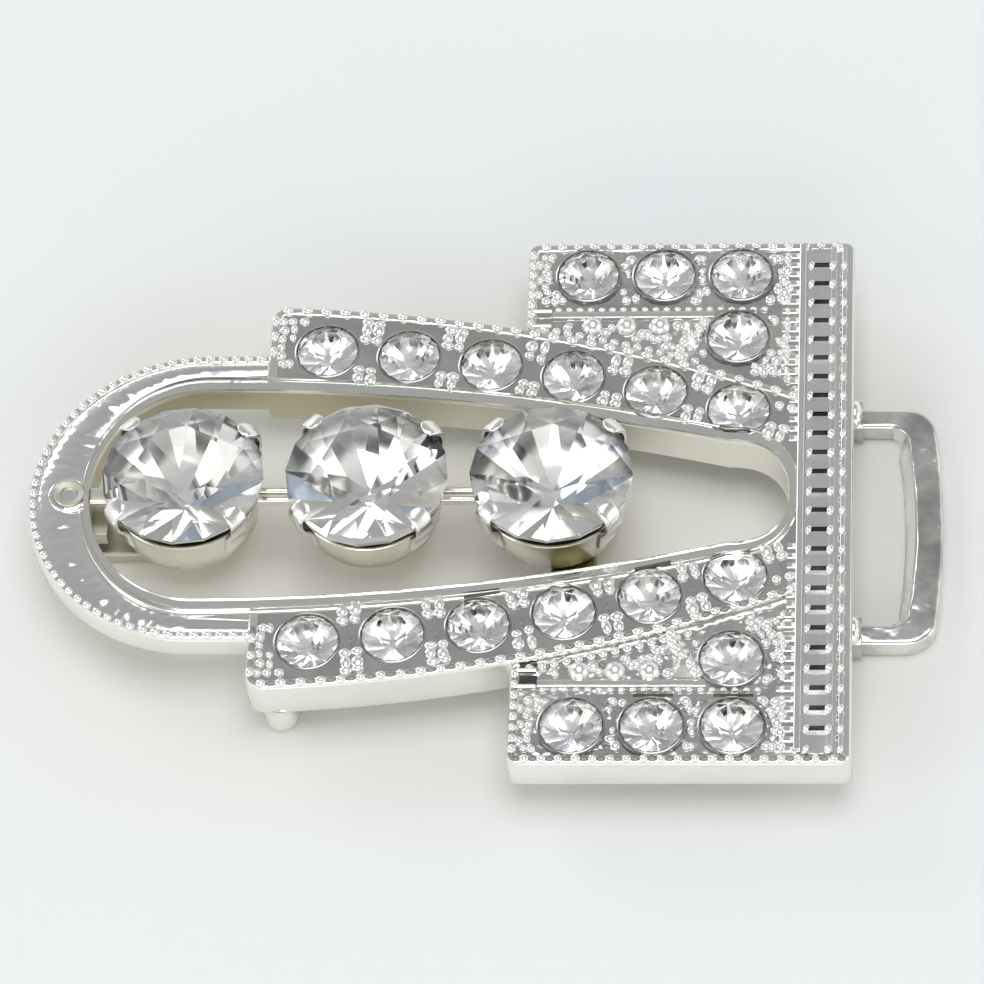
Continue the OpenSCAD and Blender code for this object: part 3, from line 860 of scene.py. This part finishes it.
def ring_band():
    """The hammered, slightly domed band of the round end, between its beaded rim and the rail."""
    x1 = ARM_X0 + 0.3
    foot_z = 2.7
    inner = arc(RING_X, 0, OPENING_END_L + RAIL_END_W, OPENING_HALF_W + RAIL_SIDE_W, 90, 270, 181)
    inner = [(x1, RING_R - 1.05)] + inner + [(x1, 1.05 - RING_R)]
    r = RING_R - RIM_W + 0.02
    outer = [(x1, r)] + arc(RING_X, 0, r, r, 90, 270, 181) + [(x1, -r)]
    rings = []
    for i, (a, b) in enumerate(zip(inner, outer)):
        ring = [(*a, foot_z)]
        for f in spread(0, 1, 15):
            dome = (0.07 + 0.02 * b[1] / r) * dist(a, b) * (1 - (2 * f - 1) ** 2)
            beat = noise.noise(Vector((i * 0.45, f * 1.8, 0.5))) * 0.035 * min(1.0, 3 * f * (1 - f) + 0.1)
            ring.append((*between(a, b, f), CHANNEL_Z + 0.02 + dome + beat))
        rings.append(ring + [(*b, foot_z)])
    return lofted(rings)


def opening_wall():
    """The dull wall of the opening, below the rail, with the painted warm reflection of the shaded floor, olive and
    darker towards the round end.
    """
    x0 = ARM_X0 + 0.02
    deep = [(-0.03, 1.68), (0.05, 1.68), (0.05, 3.52), (-0.03, 3.52)]
    shallow = [(0.03, 2.33), (0.03, 3.52), (-0.05, 3.52), (-0.05, 2.33)]
    return joined([flat_sweep(round_nose_line(x0), deep), flat_sweep(round_end_line(x0), shallow)])


def slot_places():
    return [(k - (SLOT_COUNT - 1) / 2) * RUNG_PITCH + 0.08 for k in range(SLOT_COUNT)]


def ladder():
    """The ladder band: flat cells that rise a little towards the far side, slots between them, flush ribs beside."""
    end = BLOCK_HALF_W - RIM_W
    cell = [(-0.12, 3.45), (0.12, 3.45), (0.12, CELL_Z), (RUNG_PITCH - 0.38, CELL_Z), (RUNG_PITCH - 0.14, 3.634)]
    top = [(y + a, z) for y in slot_places() for a, z in cell if abs(y + a) <= end]
    top = braced([(-end, 3.0)] + top + [(end, 3.0)], 0.03)
    parts = [straight_bar(LADDER_X0 + 0.13, -end, LADDER_X0 + 0.13, end, 3.46, 0.3, 0.8, 0.05)]
    parts.append(lofted([[(x, y, z) for y, z in top] for x in (RUNG_X0 - 0.06, RUNG_X0 + RUNG_L)]))
    for x, w in ((RUNG_X0 - 0.16, 0.2), (RUNG_X0 + RUNG_L + 0.12, 0.26), (RUNG_X0 + RUNG_L + 0.6, 0.2)):
        parts.append(straight_bar(x, -end, x, end, RIB_Z, w, 0.5, 0.03))
    return joined(parts)


def slots():
    """Painted shade: dark sheets in the slots of the ladder and in the two recesses at the block's near inner
    corner.
    """
    parts = []
    for y in slot_places()[:-1]:
        if abs(y) < BLOCK_HALF_W - RIM_W - 0.15:
            half = 0.11 if y < 2 else 0.08
            slot = rectangle(RUNG_X0 + 0.02, y - half, RUNG_X0 + RUNG_L - 0.1, y + half)
            parts.append(thin_slab([slot], 3.3, CELL_Z - 0.01))
    for y, half in ((8.98, 0.15), (9.72, 0.26)):
        recess = rectangle(BLOCK_X0 + 0.25, -y - half, BLOCK_X0 + 1.2, half - y)
        parts.append(thin_slab([recess], 3.0, WING_Z + 0.04))
    return joined(parts)


def undercuts():
    """Painted shade: dark sheets in the hollows behind some of the near stones."""
    parts = []
    for x, y in ROW_STONES[1:]:
        parts.append(thin_slab([rectangle(x - 0.85, 1.58 - y, x + 0.9, 1.7 - y)], 3.0, WING_Z + 0.06))
    for x, y in (ARM_STONES[2], ARM_STONES[4]):
        slope = arm_slope(x)
        line = [(x + 0.1 + d * cos(slope), 1.56 - y - d * sin(slope)) for d in (-0.8, 0.8)]
        parts.append(flat_sweep(line, rounded_bar(0.14, 0.14, 0.04), BAND_Z + 0.05))
    return joined(parts)


# Strap loop, cross bar and hook


def loop_line(inset, shift=0.0):
    """The strap loop's edge round its bowed right end, with round corners; shift draws the end in."""
    half_w, x1 = LOOP_HALF_W - inset, LOOP_X1 - inset
    r = LOOP_CORNER_R - inset / 2
    bow_r = (half_w * half_w + LOOP_BOW * LOOP_BOW) / (2 * LOOP_BOW)
    reach = half_w - r
    points = [(BLOCK_X1 - LOOP_UNDER + shift, -half_w)]
    for a in spread(-pi / 2, -0.1, 12):
        x, y = x1 - r - LOOP_BOW / 2 + r * cos(a), r * sin(a) - reach
        far = dist((x, y), (x1 - bow_r, 0)) / bow_r
        if far > 1:
            x, y = x1 - bow_r + (x - x1 + bow_r) / far, y / far
        points.append((x, y))
    points += [(x1 - bow_r + sqrt(bow_r * bow_r - y * y), y) for y in spread(0.2 - reach, 0, 12)]
    points += mirrored(points[:-1])
    return [(x - shift, y) for x, y in points]


def strap_loop():
    """The strap loop's bars, wider at the end, its collars at the block and its legs under it."""
    y = LOOP_BAR / 2 - LOOP_HALF_W
    inner = list(reversed(loop_line(LOOP_BAR, LOOP_END_MORE)))
    bar = slab([loop_line(0) + inner], 0, LOOP_BAR, 0.2, 4)
    flat = [face for face in bar.faces if abs(face.normal.z) > 0.999]
    bmesh.ops.inset_region(bar, faces=flat, thickness=0.03, use_boundary=True, use_even_offset=True)
    collar = slab([rectangle(BLOCK_X1 - 0.3, y - 0.75, BLOCK_X1 + 0.38, y + 0.75)], 0.1, 1.3, 0.1, 2)
    riser = slab([rectangle(BLOCK_X1 - LOOP_UNDER, y - 0.5, BLOCK_X1 - 0.2, y + 0.5)], 0.7, 1.8, 0.1, 2)
    return joined([bar, both_sides(joined([collar, riser]))])


def loop_knobs():
    """The rounded top of each collar."""
    bm = bmesh.new()
    bmesh.ops.create_uvsphere(bm, u_segments=28, v_segments=18, radius=1)
    for vert in bm.verts:
        x, y, z = vert.co
        vert.co = (BLOCK_X1 + 0.03 + 0.36 * x, 0.74 * y + LOOP_BAR / 2 - LOOP_HALF_W, 1.2 + 0.7 * z)
    return both_sides(bm)


def loop_slope():
    """The sloping inner side of the loop's end bar, which runs out towards the corners."""
    rings = []
    for x, y in loop_line(LOOP_BAR, LOOP_END_MORE):
        from_corner = LOOP_HALF_W - LOOP_BAR - abs(y)
        if x >= LOOP_X1 - 2.35 and from_corner >= 0.02:
            foot = LOOP_SLOPE * sin(pi / 2 * min(1.0, from_corner / 1.3))
            section = [(x + 0.1, 0.02), (x - foot, 0.02), (x - foot, 0.1), (x + 0.01, 0.97), (x + 0.1, 0.97)]
            rings.append([(sx, y, sz) for sx, sz in section])
    return lofted(rings)


def cross_bar():
    """The low bar under the third cup."""
    x = CUP_X0 + 2 * CUP_PITCH + CROSS_BAR_SHIFT
    half = opening_half(x) + 0.2
    return straight_bar(x, -half, x, half, 1.575, 2, 0.65, 0.12)


def back_hook():
    """The bent strip behind the round end, with its rivet."""
    under = 0.1
    x0 = EYELET_X - 1.1 + HOOK_T / 2
    z0, z1 = under + HOOK_T / 2, RING_Z0 - 0.05 - HOOK_T / 2
    mid, r = (z0 + z1) / 2, (z1 - z0) / 2
    tip = x0 + HOOK_L - HOOK_T / 2 - HOOK_W / 2
    path = [(EYELET_X + 1.6, 0, z1), (x0 + r, 0, z1)]
    path += [(x0 + r - r * sin(a), 0, mid + r * cos(a)) for a in spread(0, pi, 13)[1:]]
    strip = sweep(path + [(tip, 0, z0)], rounded_bar(HOOK_T, HOOK_W, 0.15), (0, 1, 0))
    nose = slab([circle(tip, 0, HOOK_W / 2, 48)], under, under + HOOK_T, 0.15, 3)
    stem = [(0, 1.7), (0.7, 1.7), (0.7, 3.68), (0.64, 3.74), (0.42, 3.7), (0.36, 3.62), (0.34, 3.3), (0, 3.3)]
    return joined([strip, nose, spun(stem, EYELET_X, 0, 28)])


def hollow():
    """The bottom of the rivet's hole, painted dark as shade."""
    return spun([(0, 3.28), (0.33, 3.28), (0.33, 3.46), (0.2, 3.4), (0, 3.38)], EYELET_X, 0, 24)


# Cups


def on_strip(shapes):
    """Three shapes made about the origin, each turned into its cup's place, as one."""
    for i, bm in enumerate(shapes):
        bmesh.ops.translate(bm, vec=(0, 0, -GIRDLE_Z), verts=bm.verts)
        bmesh.ops.rotate(bm, matrix=Matrix.Rotation(radians(CUP_TILT[i]), 3, "X"), verts=bm.verts)
        bmesh.ops.translate(bm, vec=(CUP_X0 + i * CUP_PITCH, 0, GIRDLE_Z), verts=bm.verts)
    return joined(shapes)


def cup():
    """One cup: a tapered sheet wall, thin at its rim, with a floor."""
    wall = [(0, 1.95), (2.75, 1.95), (2.96, 2.03), (3.09, 2.24), (3.33, 4.07), (3.33, 4.13), (3.3, 4.16),
            (3.22, 4.16), (3.19, 4.12), (3.0, 3.75), (2.77, 2.35), (2.7, 2.3), (0, 2.3)]
    return spun(wall, 0, 0, 64)


def seats():
    """The insides of the cups, painted dark as shade."""
    lining = [(0, 2.25), (2.76, 2.25), (2.82, 2.35), (3.02, 3.72), (3.19, 4.08), (3.15, 4.09), (2.96, 3.76),
              (2.74, 2.4), (2.68, 2.34), (0, 2.34)]
    return on_strip([spun(lining, 0, 0, 64) for _ in range(3)])


def prong_section(t):
    """A prong's section: domed outside, narrower towards the tip, which is rounded."""
    w = PRONG_W * (1 - 0.25 * t) * (1 if t < 0.8 else sqrt(1 - ((t - 0.8) / 0.21) ** 2 * 0.8))
    thick = 0.27 * (1 if t < 0.8 else 1 - 0.6 * (t - 0.8) / 0.2)
    turns = arc(0, 0, 1, 1, 0, 360, 21)[:-1]
    return [(thick / 2 * signed_power(c, 0.8), w / 2 * signed_power(s, 0.6)) for c, s in turns]


def prongs(cup_turn):
    """The four prongs of a cup, bent over the stone."""
    over_girdle = [(0.12, -0.5), (0.18, -0.2), (0.18, 0.08), (0.09, 0.3), (-0.09, 0.48), (-0.27, 0.6),
                   (-0.4, 0.67), (-0.5, 0.71)]
    line = [(3.2, 3.0), (3.34, 3.9)] + [(LARGE_R + a, GIRDLE_Z + b) for a, b in over_girdle]
    parts = []
    for turn in (PRONG_TURN, -PRONG_TURN, 180 + PRONG_TURN, 180 - PRONG_TURN):
        a = radians(cup_turn - 90 + turn)
        out = Vector((cos(a), sin(a), 0))
        across = Vector((-sin(a), cos(a), 0))
        parts.append(sweep([out * r + Vector((0, 0, z)) for r, z in line], prong_section, across))
    return joined(parts)


def cup_strip():
    """The three cups, the pair of links between each two, and the bar back to the round end."""
    parts = [on_strip([cup() for _ in range(3)])]
    for i in range(2):
        x = CUP_X0 + (i + 0.5) * CUP_PITCH
        for y in (-0.24, 0.24):
            parts.append(straight_bar(x - 0.98, y, x + 0.98, y, 3.45, 0.36, 0.45, 0.14))
    parts.append(straight_bar(RING_X - OPENING_END_L + 0.06, 0, CUP_X0 - 3.1, 0, 3.4, 0.9, 0.45, 0.15))
    return joined(parts)


# Beads


def rim_beads():
    """The beaded rims: bright round beads, and dents between them painted dark as shade."""
    beads, dents = Beads(), Beads()
    mid = RIM_W / 2
    x0, y0 = BLOCK_X0 + mid, mid - BLOCK_HALF_W
    lines = [
        (ring_line(mid, ARM_X0 + 0.1), 3.56, 0.29, False),
        (arm_rim_line(mid), ARM_RIM_Z, 0.435, True),
        ([(x0, 0.3 - BLOCK_HALF_W), (x0, -arm_half(BLOCK_X0) - 0.3)], BLOCK_RIM_Z, 0.28, True),
        ([(x0, y0), (BLOCK_X1 - mid, y0)], BLOCK_RIM_Z, 0.37, True),
    ]
    for line, z, pitch, twin in lines:
        for k, (x, y, turn) in enumerate(along(line, pitch)):
            r = rng.uniform(0.2, 0.25) * (1.15 if pitch > 0.4 else 1)
            height = z + rng.uniform(-0.02, 0.03)
            if k % 2 and twin:
                beads.both(x, -y, height, (r, 0.2, 0.16), -turn)
            elif k % 2:
                beads.add(x, y, height, (r, 0.19, 0.15), turn)
            elif twin:
                dents.add(x, y, z, (pitch * 0.56, 0.14, 0.07), turn)
    beads.finish("rim_beads", BEAD_PLATING)
    dents.finish("rim_dents", DENT_SHADE_PAINT)


def jitter(most):
    return rng.uniform(-most, most)


def free_place(x, y):
    """How far a place on the block is from the nearest stone, dome, rail or recess."""
    room = [hypot(x - sx, y - sy) - SMALL_R - 0.17 for sx, sy in WING_STONES]
    room += [hypot(x - dx, y - DOME_Y) - DOME_R for dx in DOME_X]
    room += [hypot((x - 9.05) / 0.8, (y - 8.8) / 1.3) - 0.75, y - arm_half(x) - 0.1, BLOCK_HALF_W - RIM_W - y]
    room += [max(abs(y - LEDGE_Y) - 0.15, x - INNER_X + 1.1), LADDER_X0 - 0.3 - x]
    room += [max(x - BLOCK_X0 - 1.15, abs(y - 9.4) - 0.7)]
    return min(room)


def arm_beads(beads, dents):
    """In the gaps between the arms' stones, and in the arms' square ends."""
    for i in range(7):
        x = ARM_STONE_X0 + (i - 0.5) * ARM_STONE_PITCH
        y = arm_stone_y(x)
        slope = arm_slope(x)
        run, rise = cos(slope), sin(slope)
        room = (arm_half(x) - opening_half(x)) / 2
        for side, half in ((-room + 0.95, 0.3), (-room + 1.4, 0.22), (0.72, 0.22), (1.22, 0.34), (1.62, 0.2)):
            for dx in (-0.27, 0.27):
                bx = x + (dx + jitter(0.05)) * run - side * rise
                by = y + dx * rise + (side + jitter(0.08)) * run
                if bx >= ARM_X0 + 1.3 and side <= room - 0.6:
                    size = (rng.uniform(0.22, 0.32), half * rng.uniform(0.9, 1.2), 0.17)
                    beads.both(bx, by, BAND_Z + 0.04, size, slope)
        for side in (-0.6, 0.1, 0.45):
            if x > ARM_X0 + 1.3:
                dents.add(x - side * rise, -y - side * run, BAND_Z, (0.1, 0.14, 0.06), -slope)
    x = ARM_X0 + 0.6
    while x < ARM_STONE_X0 - 0.8:
        y = 7.15
        while y < 9.75:
            bx, by = x + jitter(0.08), y + jitter(0.08)
            if dist((bx, by), ARM_STONES[0]) > SMALL_R + 0.3:
                beads.both(bx, by, BAND_Z + 0.03, (rng.uniform(0.17, 0.25), rng.uniform(0.18, 0.27), 0.15))
            y += 0.46
        x += 0.44


def wing_rows(beads, dents):
    """A row beside the smooth rail, the domes, the leaf on the small pyramid and a row along the arm."""
    for x in spread(3.0, 12.3, 20):
        beads.both(x, BEAD_ROW_Y, WING_Z + 0.04, (0.17, 0.13, 0.16))
    for x in DOME_X:
        beads.both(x, DOME_Y, WING_Z, (DOME_R, DOME_R, DOME_R))
    for k in range(6):
        x, y = 8.5 + 0.19 * k, 7.5 + 0.38 * k
        beads.both(x - 0.16 * sin(k), y, WING_Z + 0.2, (0.3, 0.24, 0.3), -1.1)
        beads.both(x + 0.28, y + 0.1, WING_Z + 0.1, (0.2, 0.18, 0.24))
    edge = along([(x, arm_half(x) + EDGE_ROW_SHIFT) for x in spread(2.0, 9.6, 30)], 0.27)
    for k, (x, y, turn) in enumerate(edge):
        if k % 2:
            beads.both(x, y, WING_Z + 0.06, (0.22, 0.22, 0.18), turn)
        else:
            dents.add(x, -y - 0.05, WING_Z + 0.02, (0.12, 0.15, 0.08), -turn)


def wing_field(beads, dents):
    """The beads and dents that fill the rest of the block."""
    step, share = 0.38, 0.84
    for i in range(34):
        for j in range(23):
            x = BLOCK_X0 + 0.6 + (i + 0.5 * (j % 2)) * step + jitter(0.1)
            y = 5.9 + j * step + jitter(0.1)
            in_row = abs(y - 10.3) < 0.3 or abs(y - arm_half(x) - EDGE_ROW_SHIFT) < 0.36
            if free_place(x, y) < 0.16 or in_row:
                continue
            if rng.random() < share:
                size = (rng.uniform(0.17, 0.3), rng.uniform(0.18, 0.28), 0.17)
                beads.both(x, y, WING_Z + 0.03, size, jitter(1))
            else:
                dents.add(x, -y, WING_Z + 0.02, (0.2, rng.uniform(0.1, 0.18), 0.06), jitter(1))


def stone_beads():
    """The beads that hold the small stones and fill the block, and the dents among them."""
    beads, dents = Beads(), Beads()
    for fill in (arm_beads, wing_rows, wing_field):
        fill(beads, dents)
    beads.finish("stone_beads", BEAD_PLATING, 12, 8)
    dents.finish("dents", DENT_SHADE_PAINT)


def ladder_beads():
    """Slanting beads at the ends of every slot of the ladder, and two more columns beside the short bars."""
    beads = Beads()
    slant = radians(-24)
    columns = ((-0.1, 0.15, 0.24), (RUNG_L + 0.07, 0.17, 0.25), (RUNG_L + 0.58, 0.15, 0.22))
    for y in slot_places():
        if abs(y) <= BLOCK_HALF_W - RIM_W:
            for x, wide, half in columns:
                beads.add(RUNG_X0 + x, y - 0.04, 3.62, (wide, half, 0.14), slant)
    for y in bar_places():
        z = bar_floor(y) + 0.04
        beads.both(LADDER_X0 - 0.08, y, z, (0.11, 0.13, 0.13), 0.3)
        if bar_length(y) > 0.5:
            beads.both(LADDER_X0 - 0.55, y, z, (0.12, 0.15, 0.13), 0.3)
    beads.finish("ladder_beads", BEAD_PLATING)


# The pieces
plate = finished("casting", casting(), PLATING)
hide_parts("cast_plate")
finished("collars", collars(), COLLAR_SHADE_PAINT)
rim_beads()
finished("arm_floor", arm_floor(), ARM_FLOOR_SHADE_PAINT)
stone_beads()
ladder_beads()
finished("strap_loop", strap_loop(), LOOP_REFLECTION_PAINT)
finished("loop_knobs", loop_knobs(), PLATING)
finished("loop_slope", loop_slope(), PRONG_PLATING)
finished("ladder", ladder(), CELL_PLATING)
finished("ring_band", ring_band(), RING_SHADE_PAINT)
finished("wing_floor", wing_floor(), WING_FLOOR_SHADE_PAINT)
finished("slots", slots(), SLOT_SHADE_PAINT)
finished("undercuts", undercuts(), DARK_HOLLOW_SHADE_PAINT)
finished("hollow", hollow(), DARK_HOLLOW_SHADE_PAINT)
finished("cross_bar", cross_bar(), SHADED_BRASS_PAINT)
strip = finished("cups", cup_strip(), CUP_REFLECTION_PAINT)
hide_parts("cup_strip")
finished("prongs", on_strip([prongs(turn) for turn in CUP_TURN]), PRONG_PLATING)
finished("seats", seats(), DARK_HOLLOW_SHADE_PAINT)
finished("opening_wall", opening_wall(), WALL_REFLECTION_PAINT)
hook = finished("hook", back_hook(), HOOK_SHADE_PAINT)
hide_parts("back_hook")

# The stones are the CAD model's own, with a finish each
wing_finish = foiled_crystal("wing_crystal", WING_Z + 0.16, 0.06, 0.2)
STONE_FINISHES = {
    "large_stone": foiled_crystal("large_crystal", GIRDLE_Z + 0.02),
    "arm_stone": foiled_crystal("arm_crystal", BAND_Z + 0.01, 0.06, 0.2),
    "row_stone": wing_finish,
    "inner_stone": wing_finish,
}
for name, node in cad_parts.items():
    for kind, finish in STONE_FINISHES.items():
        if kind in name:
            node.data.materials.clear()
            node.data.materials.append(finish)


def floor():
    """The pale floor, with painted warm shade under the clasp and beside the strap loop, and a painted lighter, warm
    patch in its opening.
    """
    material, maths, shader = new_material("pale_floor_painted_light_and_shade")
    tone = maths.mix(maths.noise(0.02, 2.0), (0.84, 0.85, 0.845), (0.86, 0.87, 0.865))
    # Each patch of painted light or shade: its middle, half its length and width, its power, how far it reaches, how
    # fast it ends, its colour
    painted_patches = (
        (0.0, 20, 14, 4, 1.9, 0.8, (0.85, 0.845, 0.8)),
        (-2.3, 15, 5, 2, 1.6, 1.2, (0.97, 0.95, 0.88)),
        (17.6, 2.2, 6.5, 2, 1.4, 1.2, (0.84, 0.835, 0.78)),
    )
    for middle, half_l, half_w, power, reach, fall, colour in painted_patches:
        x, y = (maths.axis("X") - middle) * (1 / half_l), maths.axis("Y") * (1 / half_w)
        far_x, far_y = x, y
        for _ in range(power - 1):
            far_x, far_y = far_x * x, far_y * y
        tone = maths.mix(((reach - far_x - far_y) * fall).clipped(), tone, colour)
    plug(maths.tree, shader, Base_Color=tone, Roughness=0.9, Specular_IOR_Level=0.1)
    half = 2.0
    mesh = bpy.data.meshes.new("floor")
    mesh.from_pydata([(x, y, 0) for x, y in rectangle(-half, -half, half, half)], [], [(0, 1, 2, 3)])
    mesh.materials.append(material)
    ground = placed("floor", mesh)


def softbox(name, at, width, height, radiance, colour):
    """A flat light panel at a place, aimed at the origin."""
    light = bpy.data.lights.new(name, "AREA")
    light.shape = "RECTANGLE"
    light.size = width * MM
    light.size_y = height * MM
    light.energy = radiance * pi * width * height * MM * MM
    light.color = colour
    lamp = placed(name, light)
    lamp.location = Vector(at) * MM
    lamp.rotation_euler = (Vector() - Vector(at)).to_track_quat("-Z", "Y").to_euler()


def studio():
    """A bright horizon under a grey sky, and soft panels overhead, at the sides, in front and behind."""
    world = bpy.data.worlds.new("studio")
    world.use_nodes = True
    maths = Maths(world)
    way = maths.node("TexCoord").outputs["Generated"]
    stops = [(0.0, (0.97, 0.95, 0.9)), (0.3, (0.86, 0.85, 0.82)), (0.55, (0.44, 0.44, 0.44)),
             (1.0, (0.29, 0.295, 0.3))]
    sky = maths.node("ValToRGB", stops=stops, Fac=maths.axis("Z", way))
    plug(maths.tree, maths.tree.nodes["Background"], Color=sky.outputs[0], Strength=1.08)
    scene.world = world
    cool = (0.93, 0.98, 1.06)
    softbox("overhead", (40, 0, 450), 340, 280, 2.6, (0.92, 0.94, 0.98))
    softbox("left", (-400, -190, 190), 220, 220, 1.75, cool)
    softbox("right", (430, -80, 150), 200, 200, 1.75, cool)
    softbox("front", (0, -440, 170), 420, 160, 2.55, (0.98, 0.97, 0.95))
    softbox("back_left", (-310, 320, 230), 200, 180, 3.2, cool)
    scene.view_settings.view_transform = "Standard"


def camera():
    """The photograph's view: a long lens from in front, turned a little about its own axis."""
    turn, height, roll = [radians(a) for a in (VIEW_TURN, VIEW_HEIGHT, VIEW_ROLL)]
    back = Vector((sin(turn) * cos(height), -cos(turn) * cos(height), sin(height)))
    right = Vector((cos(turn), sin(turn), 0))
    up = back.cross(right)
    side = right * cos(roll) + up * sin(roll)
    top = up * cos(roll) - right * sin(roll)
    lens = bpy.data.cameras.new("camera")
    lens.sensor_fit = "HORIZONTAL"
    lens.sensor_width = FILM
    lens.lens = LENS
    lens.clip_start = 0.01
    lens.clip_end = 20
    view = placed("camera", lens)
    place = Matrix((side, top, back)).transposed().to_4x4()
    place.translation = Vector(VIEW_TARGET) * MM + back * VIEW_DISTANCE * MM
    view.matrix_world = place
    bpy.context.scene.camera = view


floor()
studio()
camera()
